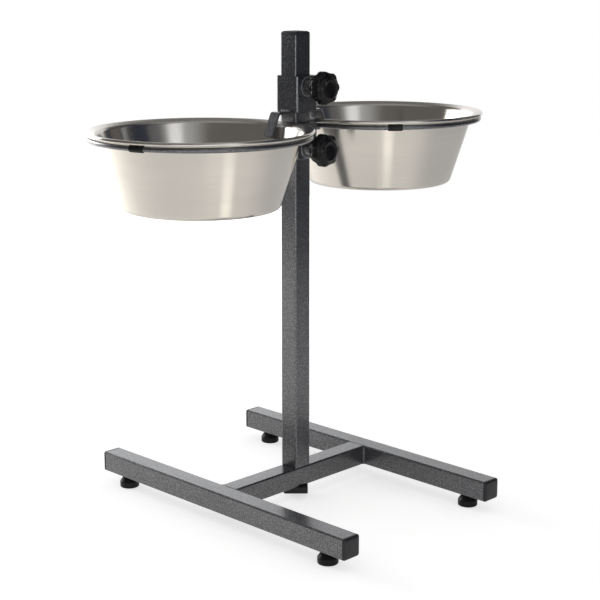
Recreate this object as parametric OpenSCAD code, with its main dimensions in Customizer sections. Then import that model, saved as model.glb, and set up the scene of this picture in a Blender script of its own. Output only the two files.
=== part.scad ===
// Adjustable dog feeder stand: a square-tube base with one post, a ring carrier for
// two steel bowls and a bowl lock, each clamped to the post by its own hand knob.
// Millimetres. Origin on the floor under the post. X runs from bowl to bowl,
// the knobs face -Y and Z is up.

/* [Tube frame] */
// Outside width of the square tube
tube_w = 25; // [20:1:30]
// Wall thickness of the square tube
tube_wall = 1.5; // [1.2:0.1:2]
// Inside corner radius of the square tube
tube_in_r = 0.5; // [0.4:0.1:2]
// Length of each rail tube, without its end caps
rail_l = 413; // [360:1:480]
// Distance between the centre lines of the two rails
rail_spacing = 250; // [220:1:300]
// Length of the post tube
post_l = 528; // [500:1:600]

/* [Feet and caps] */
// Diameter of a foot
foot_d = 24; // [18:0.5:28]
// Height of a foot
foot_h = 15.5; // [14:0.5:20]
// Height of a foot's straight side
foot_side_h = 7.5; // [6:0.5:10]
// Diameter of a foot's top, where it meets the rail
foot_top_d = 13; // [11:0.5:16]
// Distance of a foot's centre from the end of its rail
foot_inset = 32.5; // [26:0.5:60]
// Shank diameter of a foot screw
foot_screw_d = 5; // [4:0.5:6]
// Thickness of an end cap's face plate
cap_t = 4.5; // [4:0.5:6]
// Radius of the rounded edge of that plate
cap_edge_r = 3; // [1:0.5:3.5]
// Depth of an end cap's plug in the tube
cap_plug_l = 14; // [8:1:20]
// Gap between an end cap's plug and the tube's inside
cap_clearance = 0.1; // [0.05:0.05:0.2]

/* [Post fixing] */
// Shank diameter of the bolt that holds the post
post_bolt_d = 8; // [6:1:8]
// Width of the square pad under the crossbar
post_pad_w = 30; // [24:0.5:34]
// Turn of that pad about the bolt
post_pad_turn = 45; // [0:5:90]
// Height of the bolt head's underside above the floor
post_head_z = 3; // [2:0.5:4]
// Thickness of the nut plate in the post's foot
nut_plate_t = 8; // [6:0.5:12]

/* [Sleeves] */
// Gap all round between the post and a sleeve that stands centred on it
sleeve_play = 2.5; // [2:0.1:3]
// Wall thickness of a sleeve
sleeve_wall = 2.5; // [2:0.1:3]
// Inside corner radius of a sleeve
sleeve_in_r = 1; // [0.5:0.1:1.5]
// Height of a sleeve
sleeve_h = 42; // [34:1:46]
// Gap between the post and the sleeve wall that the screw draws against it
slide_gap = 0.1; // [0.1:0.05:0.2]
// Height of the carrier sleeve's lower edge above the floor
carrier_z = 425; // [200:1:430]

/* [Clamp knobs] */
// Diameter of the threaded boss
boss_d = 20; // [16:0.5:22]
// Distance of the threaded boss from the sleeve's outer end
boss_edge = 2.5; // [2.5:0.1:4]
// Length of the threaded boss
boss_l = 12; // [8:0.5:16]
// Diameter of the clamp screw
screw_d = 8; // [6:1:8]
// Gap all round the clamp screw in its boss
screw_clearance = 0.05; // [0.03:0.01:0.08]
// Gap between the tip of the clamp screw and the post
tip_gap = 0.2; // [0.15:0.05:0.3]
// Gap between the knob's back and the threaded boss
knob_gap = 5.6; // [3:0.1:8]
// Diameter over the lobes of the knob
knob_d = 39; // [36:0.5:42]
// Depth by which the grip hollows fall in from the lobes
knob_lobe_rise = 1.7; // [1:0.1:2.5]
// Number of lobes
knob_lobes = 7; // [5:1:9]
// Diameter of the collar behind the knob's head
knob_collar_d = 32; // [26:0.5:32]
// Length of that collar
knob_collar_l = 4; // [3:0.5:6]
// Thickness of the lobed head
knob_head_t = 13; // [10:0.5:14]
// Diameter of the flat face in front
knob_face_d = 23; // [18:0.5:24]
// Height of that face above the lobed head
knob_face_h = 2.8; // [2:0.2:4]

/* [Rings] */
// Diameter of the ring's round bar
ring_bar_d = 6; // [5:0.25:7]
// Depth of the ring's centre line below the carrier sleeve's upper edge
ring_drop = 5.2; // [5:0.1:6]
// Width of the flat arm that carries a ring
arm_w = 22; // [18:1:24]
// Thickness of that arm
arm_t = 5; // [4.5:0.5:6]
// Length by which the arm reaches past the ring's centre line
arm_past_ring = 3.5; // [2:0.5:4]
// Wall thickness of a rubber pad on the ring
pad_wall = 1.1; // [1:0.05:2]
// Length of a rubber pad along the ring
pad_l = 17; // [12:1:20]
// Direction of the first pad on the left ring
left_pad_angle = 196; // [140:1:220]
// Direction of the first pad on the right ring
right_pad_angle = 230; // [200:1:280]

/* [Bowls] */
// Outside diameter over the rolled rim
bowl_d = 256; // [230:1:280]
// Gap between the bowls' rims and the sleeves
rim_gap = 4.5; // [3:0.5:10]
// Diameter of the rolled rim's bead
bead_d = 4.4; // [3.5:0.1:7]
// Distance of the bead's centre line outside the ring's centre line
bead_overhang = 2.5; // [1:0.25:3]
// Gap between the bead and the rubber pads it rests on
bowl_gap = 0.2; // [0.1:0.05:0.5]
// Gap between the bowl's wall and the rubber pads
wall_gap = 2.5; // [0.8:0.1:4]
// Distance by which the wall draws in from the rim to the floor
bowl_taper = 28.2; // [15:0.2:40]
// Height of the bowl from its floor to the top of its rim
bowl_h = 88.5; // [70:0.5:110]
// Radius of the outside bottom corner
bowl_corner_r = 7; // [5:0.5:10]
// Thickness of the steel sheet
bowl_t = 0.8; // [0.6:0.1:1.2]
// Slope of the flared rim, which rises outwards to its bead
rim_rise = 18; // [10:1:25]
// Radius of the bend between the wall and the flared rim
rim_bend_r = 5; // [3:0.5:6]

/* [Bowl lock] */
// Width of a lock tab
tab_w = 14; // [10:0.5:14]
// Thickness of a lock tab
tab_t = 3; // [2:0.25:3]
// Height of the tab's upper face above the sleeve's lower edge
tab_rise = 1.2; // [0:0.1:3]
// Gap between the tabs and the rims under them
lock_gap = 8; // [5.5:0.1:10]
// Distance of the tab's bend from the wall of the bowl at its rim
tab_inset = 3.5; // [3.5:0.5:8]
// Angle between the tab's tongue and the wall of the bowl
tab_open = 5; // [3:0.5:12]
// Length of the tab's tongue
tab_l = 30.5; // [20:0.5:45]

/* [Welds] */
// Leg of a weld bead
weld_leg = 2.4; // [1.5:0.1:2.4]

/* [Hidden] */
$fn = 96;
cut = 1;
hex_corner_ratio = 2 / sqrt(3);

rail_x = rail_spacing / 2;
tube_z = foot_h;
tube_top_z = tube_z + tube_w;
tube_in = tube_w - 2 * tube_wall;
tube_corner_r = tube_in_r + tube_wall;
crossbar_l = rail_spacing - tube_w;
post_top_z = tube_top_z + post_l;
cap_plug_wall = 2;

foot_reach = rail_l / 2 - foot_inset;
foot_edge = 1.5;
foot_head_d = 10;
foot_head_h = 3.4;
foot_head_gap = 0.5;
foot_recess_d = foot_head_d + 2 * foot_head_gap;
foot_recess_h = 6;
foot_head_z = foot_recess_h - foot_head_h;
foot_screw_past = 6;

post_head_d = 14;
post_head_h = 4;
post_head_slope = 2;
post_socket_w = 5;
post_socket_h = 2.2;
post_pad_z = post_head_z + post_head_h;
post_pad_h = tube_z - post_pad_z;
post_bolt_past = 4;

sleeve_in = tube_w + 2 * sleeve_play;
sleeve_w = sleeve_in + 2 * sleeve_wall;
sleeve_corner_r = sleeve_in_r + sleeve_wall;
sleeve_y = slide_gap - sleeve_play;
sleeve_face_y = sleeve_y - sleeve_w / 2;
sleeve_face_x = sleeve_w / 2;
carrier_top_z = carrier_z + sleeve_h;

bead_r = bead_d / 2;
bead_ring_r = bowl_d / 2 - bead_r;
ring_reach = sleeve_face_x + rim_gap + bowl_d / 2;
ring_r = bead_ring_r - bead_overhang;
ring_z = carrier_top_z - ring_drop;
ring_bar_r = ring_bar_d / 2;
pad_r = ring_bar_r + pad_wall;
pad_count = 3;
pad_sweep = pad_l / ring_r * 180 / PI;
arm_end_x = ring_reach - ring_r + arm_past_ring;

bead_drop = sqrt(pow(bead_r + pad_r + bowl_gap, 2) - pow(bead_overhang, 2));
rim_top_z = ring_z + bead_drop + bead_r;
bowl_floor_z = rim_top_z - bowl_h;
bowl_top_r = ring_r - pad_r - wall_gap;
bowl_floor_r = bowl_top_r - bowl_taper;
taper_h = bowl_h - bowl_t;
wall_slope = bowl_taper / taper_h;
wall_angle = atan(wall_slope);
corner_tangent = bowl_corner_r * tan(45 - wall_angle / 2);
arc_steps = 8;

lock_z = rim_top_z + lock_gap + tab_t - tab_rise;
tab_top_z = lock_z + tab_rise;
tab_bend_x = ring_reach - bowl_top_r + tab_inset;
tab_lean = wall_angle + tab_open;

screw_inset = boss_edge + boss_d / 2;
carrier_screw_z = carrier_z + screw_inset;
lock_screw_z = lock_z + sleeve_h - screw_inset;
screw_tip_y = -tube_w / 2 - tip_gap;
screw_bore_d = screw_d + 2 * screw_clearance;
sleeve_hole_clearance = 0.5;
sleeve_hole_d = screw_d + 2 * sleeve_hole_clearance;
knob_back_y = sleeve_face_y - boss_l - knob_gap;
knob_end_wall = 3;
knob_bore_l = knob_collar_l + knob_head_t - knob_end_wall;
knob_r = knob_d / 2;
knob_core_r = knob_r - knob_lobe_rise;
knob_lobe_r = 6;

// Square with rounded corners, centred
module rounded_square(w, r) {
  square([w - 2 * r, w], center = true);
  square([w, w - 2 * r], center = true);
  for (x = [-1, 1], y = [-1, 1])
    translate([x * (w / 2 - r), y * (w / 2 - r)])
      circle(r);
}

// Section of a square tube
module tube_section(w, wall, r) {
  difference() {
    rounded_square(w, r);
    rounded_square(w - 2 * wall, r - wall);
  }
}

// Fillet bead of triangular section, along +Z from the origin, in the corner of +X and +Y
module weld_bead(l) {
  linear_extrude(l)
    polygon([[0, 0], [weld_leg, 0], [0, weld_leg]]);
}

// One rail along Y, with screw holes for its feet
module rail(side) {
  color("dimgray")
  difference() {
    translate([side * rail_x, rail_l / 2, tube_z + tube_w / 2])
      rotate([90, 0, 0])
        linear_extrude(rail_l)
          tube_section(tube_w, tube_wall, tube_corner_r);
    for (end = [-1, 1])
      translate([side * rail_x, end * foot_reach, tube_z - cut])
        cylinder(d = foot_screw_d, h = tube_wall + 2 * cut);
  }
}

// Crossbar along X between the rails, with the bolt holes of the post
module crossbar() {
  color("dimgray")
  difference() {
    translate([-crossbar_l / 2, 0, tube_z + tube_w / 2])
      rotate([90, 0, 90])
        linear_extrude(crossbar_l)
          tube_section(tube_w, tube_wall, tube_corner_r);
    translate([0, 0, tube_z - cut])
      cylinder(d = post_bolt_d, h = tube_w + 2 * cut);
  }
}

// Upright weld beads where the crossbar meets the rails
module frame_welds() {
  bead_l = tube_w - 2 * tube_corner_r;
  color("dimgray")
  for (side = [-1, 1], face = [0, 1])
    mirror([side > 0 ? 1 : 0, 0, 0])
      mirror([0, face, 0])
        translate([-crossbar_l / 2, tube_w / 2, tube_z + tube_corner_r])
          weld_bead(bead_l);
}

// Side view of an end cap's face plate, with its two outer edges rounded
module cap_side() {
  straight_w = tube_w - 2 * cap_edge_r;
  straight_h = cap_t - cap_edge_r;
  translate([-tube_w / 2, 0])
    square([tube_w, straight_h]);
  translate([-straight_w / 2, 0])
    square([straight_w, cap_t]);
  for (x = [-1, 1])
    translate([x * straight_w / 2, straight_h])
      circle(cap_edge_r);
}

// Face plate of an end cap
module cap_plate() {
  intersection() {
    linear_extrude(cap_t)
      rounded_square(tube_w, tube_corner_r);
    rotate([90, 0, 0])
      linear_extrude(tube_w, center = true)
        cap_side();
    rotate([90, 0, 90])
      linear_extrude(tube_w, center = true)
        cap_side();
  }
}

// End cap with its hollow plug pointing down -Z from the tube's end at z = 0
module tube_cap() {
  plug_w = tube_in - 2 * cap_clearance;
  plug_r = tube_in_r - cap_clearance;
  color([0.16, 0.16, 0.16]) {
    cap_plate();
    translate([0, 0, -cap_plug_l])
      linear_extrude(cap_plug_l)
        difference() {
          rounded_square(plug_w, plug_r);
          square(plug_w - 2 * cap_plug_wall, center = true);
        }
  }
}

// End cap of one rail
module rail_cap(side, end) {
  translate([side * rail_x, end * rail_l / 2, tube_z + tube_w / 2])
    rotate([-end * 90, 0, 0])
      tube_cap();
}

// Round foot with a cone-shaped top and a recess for its screw head
module foot(side, end) {
  color([0.1, 0.1, 0.1])
  translate([side * rail_x, end * foot_reach, 0])
    difference() {
      rotate_extrude()
        polygon([
          [0, 0],
          [foot_d / 2 - foot_edge, 0],
          [foot_d / 2, foot_edge],
          [foot_d / 2, foot_side_h],
          [foot_top_d / 2, foot_h],
          [0, foot_h]
        ]);
      translate([0, 0, -cut])
        cylinder(d = foot_recess_d, h = foot_recess_h + cut);
      cylinder(d = foot_screw_d, h = foot_h + cut);
    }
}

// Screws that hold the four feet to the rails
module foot_screws() {
  color("silver")
  for (side = [-1, 1], end = [-1, 1])
    translate([side * rail_x, end * foot_reach, foot_head_z]) {
      cylinder(d = foot_head_d, h = foot_head_h);
      cylinder(d = foot_screw_d, h = foot_h - foot_head_z + foot_screw_past);
    }
}

// Upright tube that stands on the crossbar
module post() {
  color("dimgray")
  translate([0, 0, tube_top_z])
    linear_extrude(post_l)
      tube_section(tube_w, tube_wall, tube_corner_r);
}

// Cap on the top of the post
module post_cap() {
  translate([0, 0, post_top_z])
    tube_cap();
}

// Threaded plate welded into the lower end of the post
module post_nut_plate() {
  color("gray")
  translate([0, 0, tube_top_z])
    difference() {
      linear_extrude(nut_plate_t)
        rounded_square(tube_in, tube_in_r);
      translate([0, 0, -cut])
        cylinder(d = post_bolt_d, h = nut_plate_t + 2 * cut);
    }
}

// Bolt from below through the pad and the crossbar into the nut plate
module post_bolt() {
  bolt_l = post_pad_h + tube_w + nut_plate_t + post_bolt_past;
  color([0.12, 0.12, 0.12])
  translate([0, 0, post_pad_z])
    difference() {
      union() {
        cylinder(d = post_bolt_d, h = bolt_l);
        translate([0, 0, -post_head_h])
          cylinder(d1 = post_head_d - 2 * post_head_slope, d2 = post_head_d, h = post_head_h);
      }
      translate([0, 0, -post_head_h - cut])
        cylinder(d = post_socket_w * hex_corner_ratio, h = post_socket_h + cut, $fn = 6);
    }
}

// Square pad that spreads the bolt's pull under the crossbar
module post_pad() {
  color([0.1, 0.1, 0.1])
  translate([0, 0, post_pad_z])
    rotate(post_pad_turn)
      difference() {
        linear_extrude(post_pad_h)
          rounded_square(post_pad_w, tube_corner_r);
        translate([0, 0, -cut])
          cylinder(d = post_bolt_d, h = post_pad_h + 2 * cut);
      }
}

// Square sleeve that slides on the post, with the screw's hole in its front wall
module sleeve(z, screw_z) {
  color("dimgray")
  difference() {
    translate([0, sleeve_y, z])
      linear_extrude(sleeve_h)
        tube_section(sleeve_w, sleeve_wall, sleeve_corner_r);
    translate([0, sleeve_face_y - cut, screw_z])
      rotate([-90, 0, 0])
        cylinder(d = sleeve_hole_d, h = sleeve_wall + 2 * cut);
  }
}

// Threaded boss welded to the front of a sleeve
module boss(screw_z) {
  color("dimgray")
  translate([0, sleeve_face_y, screw_z])
    rotate([90, 0, 0])
      difference() {
        cylinder(d = boss_d, h = boss_l);
        translate([0, 0, -cut])
          cylinder(d = screw_bore_d, h = boss_l + 2 * cut);
      }
}

// Clamp screw from the post's face into the knob
module clamp_screw(screw_z) {
  screw_l = screw_tip_y - knob_back_y + knob_bore_l;
  color("silver")
  translate([0, screw_tip_y, screw_z])
    rotate([90, 0, 0])
      cylinder(d = screw_d, h = screw_l);
}

// Lobed outline of the knob's head
module knob_outline() {
  circle(knob_core_r);
  for (lobe = [0 : knob_lobes - 1])
    rotate(lobe * 360 / knob_lobes)
      translate([knob_r - knob_lobe_r, 0])
        circle(knob_lobe_r);
}

// Hand knob: collar, lobed head and flat face
module knob(screw_z) {
  color([0.08, 0.08, 0.08])
  translate([0, knob_back_y, screw_z])
    rotate([90, 0, 0])
      difference() {
        union() {
          cylinder(d = knob_collar_d, h = knob_collar_l);
          translate([0, 0, knob_collar_l])
            linear_extrude(knob_head_t)
              knob_outline();
          translate([0, 0, knob_collar_l + knob_head_t])
            cylinder(d1 = knob_face_d + 2 * knob_face_h, d2 = knob_face_d, h = knob_face_h);
        }
        translate([0, 0, -cut])
          cylinder(d = screw_d, h = knob_bore_l + cut);
      }
}

// Round bar of one ring
module ring_bar(side) {
  translate([side * ring_reach, 0, ring_z])
    rotate_extrude($fn = 180)
      translate([ring_r, 0])
        circle(ring_bar_r, $fn = 48);
}

// Ring that carries a bowl
module ring(side) {
  color("dimgray")
  ring_bar(side);
}

// Flat arm from the carrier sleeve, with a seat for the ring
module ring_arm(side) {
  arm_l = arm_end_x - sleeve_face_x;
  color("dimgray")
  difference() {
    translate([side * (sleeve_face_x + arm_l / 2), sleeve_y, ring_z - arm_t / 2])
      cube([arm_l, arm_w, arm_t], center = true);
    ring_bar(side);
  }
}

// Rubber pads round one ring, spaced evenly from the first
module ring_pads(side, first_angle) {
  color([0.07, 0.07, 0.07])
  translate([side * ring_reach, 0, ring_z])
    for (pad = [0 : pad_count - 1])
      rotate(first_angle - pad_sweep / 2 + pad * 360 / pad_count)
        rotate_extrude(angle = pad_sweep, $fn = 180)
          translate([ring_r, 0])
            difference() {
              circle(pad_r, $fn = 48);
              circle(ring_bar_r, $fn = 48);
            }
}

// Weld beads over and under a flat bar that meets the side of a sleeve
module bar_welds(side, w, top_z, t) {
  mirror([side > 0 ? 0 : 1, 0, 0]) {
    translate([sleeve_face_x, sleeve_y + w / 2, top_z])
      rotate([90, 0, 0])
        weld_bead(w);
    translate([sleeve_face_x, sleeve_y - w / 2, top_z - t])
      rotate([-90, 0, 0])
        weld_bead(w);
  }
}

// Cone-shaped weld bead round a boss
module boss_weld(screw_z) {
  translate([0, sleeve_face_y, screw_z])
    rotate([90, 0, 0])
      difference() {
        cylinder(d1 = boss_d + 2 * weld_leg, d2 = boss_d, h = weld_leg);
        translate([0, 0, -cut])
          cylinder(d = boss_d, h = weld_leg + 2 * cut);
      }
}

// Weld beads of the carrier
module carrier_welds() {
  color("dimgray") {
    for (side = [-1, 1])
      bar_welds(side, arm_w, ring_z, arm_t);
    boss_weld(carrier_screw_z);
  }
}

// Bent tab that reaches over a bowl's rim and down along its inside
module lock_tab(side) {
  along = [sin(tab_lean), -cos(tab_lean)];
  inward = [-cos(tab_lean), -sin(tab_lean)];
  bend = [tab_bend_x, tab_top_z];
  tip = bend + tab_l * along;
  under_z = tab_top_z - tab_t;
  under_x = tab_bend_x - tab_t * tan(45 - tab_lean / 2);
  color("dimgray")
  mirror([side > 0 ? 0 : 1, 0, 0])
    translate([0, sleeve_y + tab_w / 2, 0])
      rotate([90, 0, 0])
        linear_extrude(tab_w)
          polygon([
            [sleeve_face_x, under_z],
            [sleeve_face_x, tab_top_z],
            bend,
            tip,
            tip + tab_t * inward,
            [under_x, under_z]
          ]);
}

// Weld beads of the lock
module lock_welds() {
  color("dimgray") {
    for (side = [-1, 1])
      mirror([side > 0 ? 0 : 1, 0, 0])
        translate([sleeve_face_x, sleeve_y + tab_w / 2, tab_top_z])
          rotate([90, 0, 0])
            weld_bead(tab_w);
    boss_weld(lock_screw_z);
  }
}

// Points of an arc about a centre
function arc_points(centre, r, from, to) =
  [for (step = [0 : arc_steps])
    let (a = from + (to - from) * step / arc_steps)
      centre + r * [cos(a), sin(a)]];

// Half-section of a bowl: floor, rounded corner, sloping wall, flared rim and rolled bead
module bowl_section() {
  corner = [bowl_floor_r - corner_tangent, bowl_corner_r];
  bead = [bead_ring_r, bowl_h - bead_r];
  rim_up = [-sin(rim_rise), cos(rim_rise)];
  rim_end = bead + (bead_r - bowl_t) * rim_up;
  wall_out = [cos(wall_angle), -sin(wall_angle)];
  rim_start_z = (bowl_floor_r - rim_end.x + rim_end.y / tan(rim_rise)) / (1 / tan(rim_rise) - wall_slope);
  rim_start = [bowl_floor_r + wall_slope * rim_start_z, rim_start_z];
  bend = rim_start + rim_bend_r * (wall_out - rim_up) / (1 - wall_out * rim_up);
  polygon(concat(
    [[0, 0]],
    arc_points(corner, bowl_corner_r, -90, -wall_angle),
    arc_points(bend, rim_bend_r, 180 - wall_angle, 90 + rim_rise),
    [rim_end, rim_end + bowl_t * rim_up],
    arc_points(bend, rim_bend_r + bowl_t, 90 + rim_rise, 180 - wall_angle),
    arc_points(corner, bowl_corner_r - bowl_t, -wall_angle, -90),
    [[0, bowl_t]]
  ));
  translate(bead)
    circle(bead_r, $fn = 48);
}

// Steel bowl that hangs by its rim in a ring
module bowl(side) {
  color("silver")
  translate([side * ring_reach, 0, bowl_floor_z])
    rotate_extrude($fn = 180)
      bowl_section();
}

rail(-1);  // left_rail
rail(1);  // right_rail
crossbar();
frame_welds();
rail_cap(-1, -1);  // left_rail_front_cap
rail_cap(-1, 1);  // left_rail_back_cap
rail_cap(1, -1);  // right_rail_front_cap
rail_cap(1, 1);  // right_rail_back_cap
foot(-1, -1);  // left_front_foot
foot(-1, 1);  // left_back_foot
foot(1, -1);  // right_front_foot
foot(1, 1);  // right_back_foot
foot_screws();
post();
post_cap();
post_nut_plate();
post_bolt();
post_pad();
sleeve(carrier_z, carrier_screw_z);  // carrier_sleeve
boss(carrier_screw_z);  // carrier_boss
ring_arm(-1);  // left_ring_arm
ring_arm(1);  // right_ring_arm
carrier_welds();
ring(-1);  // left_ring
ring(1);  // right_ring
ring_pads(-1, left_pad_angle);  // left_ring_pads
ring_pads(1, right_pad_angle);  // right_ring_pads
clamp_screw(carrier_screw_z);  // carrier_screw
knob(carrier_screw_z);  // carrier_knob
sleeve(lock_z, lock_screw_z);  // lock_sleeve
boss(lock_screw_z);  // lock_boss
lock_tab(-1);  // left_lock_tab
lock_tab(1);  // right_lock_tab
lock_welds();
clamp_screw(lock_screw_z);  // lock_screw
knob(lock_screw_z);  // lock_knob
bowl(-1);  // left_bowl
bowl(1);  // right_bowl
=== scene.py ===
import math

import bmesh
import bpy
from mathutils import Matrix, Vector


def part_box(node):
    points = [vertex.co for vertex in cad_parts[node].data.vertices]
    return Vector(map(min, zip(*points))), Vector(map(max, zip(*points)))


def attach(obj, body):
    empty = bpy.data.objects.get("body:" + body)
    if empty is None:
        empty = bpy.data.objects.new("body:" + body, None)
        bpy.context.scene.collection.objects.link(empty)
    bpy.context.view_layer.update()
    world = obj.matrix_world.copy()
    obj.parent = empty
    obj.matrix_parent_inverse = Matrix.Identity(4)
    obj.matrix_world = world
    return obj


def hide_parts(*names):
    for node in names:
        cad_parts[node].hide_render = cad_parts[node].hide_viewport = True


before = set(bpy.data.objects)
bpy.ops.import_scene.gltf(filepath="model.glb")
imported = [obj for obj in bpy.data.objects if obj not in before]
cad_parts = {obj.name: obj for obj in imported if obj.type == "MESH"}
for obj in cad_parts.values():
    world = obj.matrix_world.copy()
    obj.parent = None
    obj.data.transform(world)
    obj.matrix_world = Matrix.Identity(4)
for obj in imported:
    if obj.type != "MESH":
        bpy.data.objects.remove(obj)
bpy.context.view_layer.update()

# Camera at the photograph's place: a long lens, a little above the bowls, that looks
# across the stand from its left front corner.
heading = math.radians(45.47)
tilt = math.radians(76.93)
camera_place = (-1.2231, -1.2107, 0.6504)
lens = bpy.data.cameras.new("photo_camera")
lens.sensor_width = 36
lens.lens = 87.27
lens.clip_start = 0.05
camera = bpy.data.objects.new("photo_camera", lens)
camera.location = camera_place
camera.rotation_euler = (tilt, 0, -heading)
bpy.context.collection.objects.link(camera)
bpy.context.scene.camera = camera
bpy.context.scene.view_settings.view_transform = "Standard"


# White paper: a wide roll that runs from behind the stand to under the camera. It is lifted
# to white for the camera but for a faint shadow under the stand, and it has a painted glow that
# only the metal sees in it: less on the right, more towards the back left, and in pools by the bowls.
def add(tree, kind, inputs=None, **settings):
    """A node in a tree, with its settings, and its inputs as values or links."""
    node = tree.nodes.new(kind)
    for key, value in settings.items():
        setattr(node, key, value)
    for key, value in (inputs or {}).items():
        if isinstance(value, bpy.types.NodeSocket):
            tree.links.new(value, node.inputs[key])
        else:
            node.inputs[key].default_value = value
    return node


def maths(tree, operation, *values):
    """The value of one maths node."""
    return add(tree, "ShaderNodeMath", dict(enumerate(values)), operation=operation).outputs[0]


def vector_maths(tree, operation, *values, result="Vector"):
    """One result of a vector maths node."""
    node = add(tree, "ShaderNodeVectorMath", dict(enumerate(values)), operation=operation)
    return node.outputs[result]


def ramp(tree, value, start, end, low=0.0, high=1.0):
    """A value eased from low to high while another goes from start to end."""
    inputs = {0: value, 1: start, 2: end, 3: low, 4: high}
    return add(tree, "ShaderNodeMapRange", inputs, interpolation_type="SMOOTHSTEP").outputs[0]


def blend(tree, factor, a, b):
    """A colour between two others."""
    return add(tree, "ShaderNodeMix", {0: factor, 6: a, 7: b}, data_type="RGBA").outputs[2]


def blank_material(name):
    """A material with an empty tree."""
    material = bpy.data.materials.new(name)
    material.use_nodes = True
    material.node_tree.nodes.clear()
    return material, material.node_tree


def mesh_object(name, bm, sharp=40, closed=True):
    """A smooth-shaded object from a bmesh, with faces outwards if closed and hard edges kept."""
    if closed:
        bmesh.ops.recalc_face_normals(bm, faces=bm.faces)
    mesh = bpy.data.meshes.new(name)
    bm.to_mesh(mesh)
    bm.free()
    mesh.shade_smooth()
    mesh.set_sharp_from_angle(angle=math.radians(sharp))
    piece = bpy.data.objects.new(name, mesh)
    bpy.context.collection.objects.link(piece)
    return piece


paper_left, paper_right = -1.75, 1.4
paper_front, paper_back = -2.7, 2.4
away = Vector((math.sin(heading), math.cos(heading), 0))
across = Vector((math.cos(heading), -math.sin(heading), 0))
bm = bmesh.new()
corners = ((paper_left, paper_front), (paper_right, paper_front),
           (paper_right, paper_back), (paper_left, paper_back))
bm.faces.new([bm.verts.new(across * x + away * y) for x, y in corners])
paper = mesh_object("paper_roll", bm, closed=False)
shadow_reach = (0.4, 1.1)
shadow_lift = 0.6
wash_way = (-0.46, 0.8, 0)
wash_limit = 1.2
wash_edge = (-1.25, -0.7)
wash_strength = 0.4
left_edge = (-0.75, -0.35)
left_glow = (0.25, 0.33)
right_edge = (0.0, 0.6)
right_glow = (1.0, 0.3)
pool_edge = (1.5, 0.4)
# Middle, turn in degrees, half sizes and strength of each painted pool. The last, painted shade, dims the
# floor.
pools = (((-0.19, -0.458, 0), -38, (0.075, 0.055, 1), 1.25),
         ((-0.365, -0.51, 0), -17, (0.14, 0.08, 1), 0.17),
         ((0.05, -0.06, 0), 0, (0.18, 0.24, 1), -0.15))
pure_white = (1, 1, 1, 1)
paper_grey = (0.79, 0.79, 0.79, 1)
warm_white = (1, 0.943, 0.838, 1)
white, tree = blank_material("white_paper")
place = add(tree, "ShaderNodeTexCoord").outputs["Object"]
path = add(tree, "ShaderNodeLightPath").outputs
reach = vector_maths(tree, "LENGTH", place, result="Value")
lift = maths(tree, "MULTIPLY", path["Is Camera Ray"], ramp(tree, reach, *shadow_reach, shadow_lift, 1.0))
# Painted glow, warm white, that only glossy rays see: a wash towards the back left, a glow on the left
# that fades to the right, and the pools.
wash = vector_maths(tree, "DOT_PRODUCT", place, wash_way, result="Value")
wash = maths(tree, "POWER", add(tree, "ShaderNodeClamp", {0: wash, 2: wash_limit}).outputs[0], 3)
aside = add(tree, "ShaderNodeSeparateXYZ", {0: place}).outputs["X"]
wash = maths(tree, "MULTIPLY", wash, ramp(tree, aside, *wash_edge, 0.0, wash_strength))
painted_glow = maths(tree, "MULTIPLY", ramp(tree, aside, *left_edge, *left_glow),
               ramp(tree, aside, *right_edge, *right_glow))
painted_glow = maths(tree, "ADD", painted_glow, wash)
for middle, turn, spread, strength in pools:
    pool = {"Vector": place, "Location": middle, "Rotation": (0, 0, math.radians(turn)), "Scale": spread}
    pool = add(tree, "ShaderNodeMapping", pool, vector_type="TEXTURE").outputs[0]
    pool = vector_maths(tree, "LENGTH", pool, result="Value")
    painted_glow = maths(tree, "ADD", painted_glow, ramp(tree, pool, *pool_edge, 0.0, strength))
lift = maths(tree, "MULTIPLY_ADD", path["Is Glossy Ray"], painted_glow, lift)
tone = blend(tree, path["Is Camera Ray"], warm_white, pure_white)
matt = add(tree, "ShaderNodeBsdfDiffuse", {"Color": paper_grey})
glow = add(tree, "ShaderNodeEmission", {"Color": tone, "Strength": lift})
both = add(tree, "ShaderNodeAddShader", {0: matt.outputs[0], 1: glow.outputs[0]})
add(tree, "ShaderNodeOutputMaterial", {"Surface": both.outputs[0]})
paper.data.materials.append(white)

# Studio: white where the camera looks past the paper, and even light for matt surfaces. The
# metal mirrors a dim room with lit and dark walls and a white backdrop behind the stand. A
# wall lies between two bearings in degrees from +X and two heights, the sines of the rise.
world = bpy.data.worlds.new("studio")
bpy.context.scene.world = world
world.use_nodes = True
tree = world.node_tree
tree.nodes.clear()
path = add(tree, "ShaderNodeLightPath").outputs
aim = add(tree, "ShaderNodeTexCoord").outputs["Generated"]
x, y, height = add(tree, "ShaderNodeSeparateXYZ", {0: aim}).outputs
bearing = maths(tree, "DEGREES", maths(tree, "ARCTAN2", y, x))


def window(tree, value, start, end, soft):
    """One between start and end, with soft edges, and nothing outside."""
    rise = ramp(tree, value, start - soft / 2, start + soft / 2)
    return maths(tree, "MULTIPLY", rise, ramp(tree, value, end + soft / 2, end - soft / 2))


def panel(tree, under, colour, bearings, heights, soft):
    """A lit or dark wall of the room over what lies under it."""
    wide = window(tree, bearing, *bearings, soft[0])
    tall = window(tree, height, *heights, soft[1])
    return blend(tree, maths(tree, "MULTIPLY", wide, tall), under, (*colour, 1))


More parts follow.
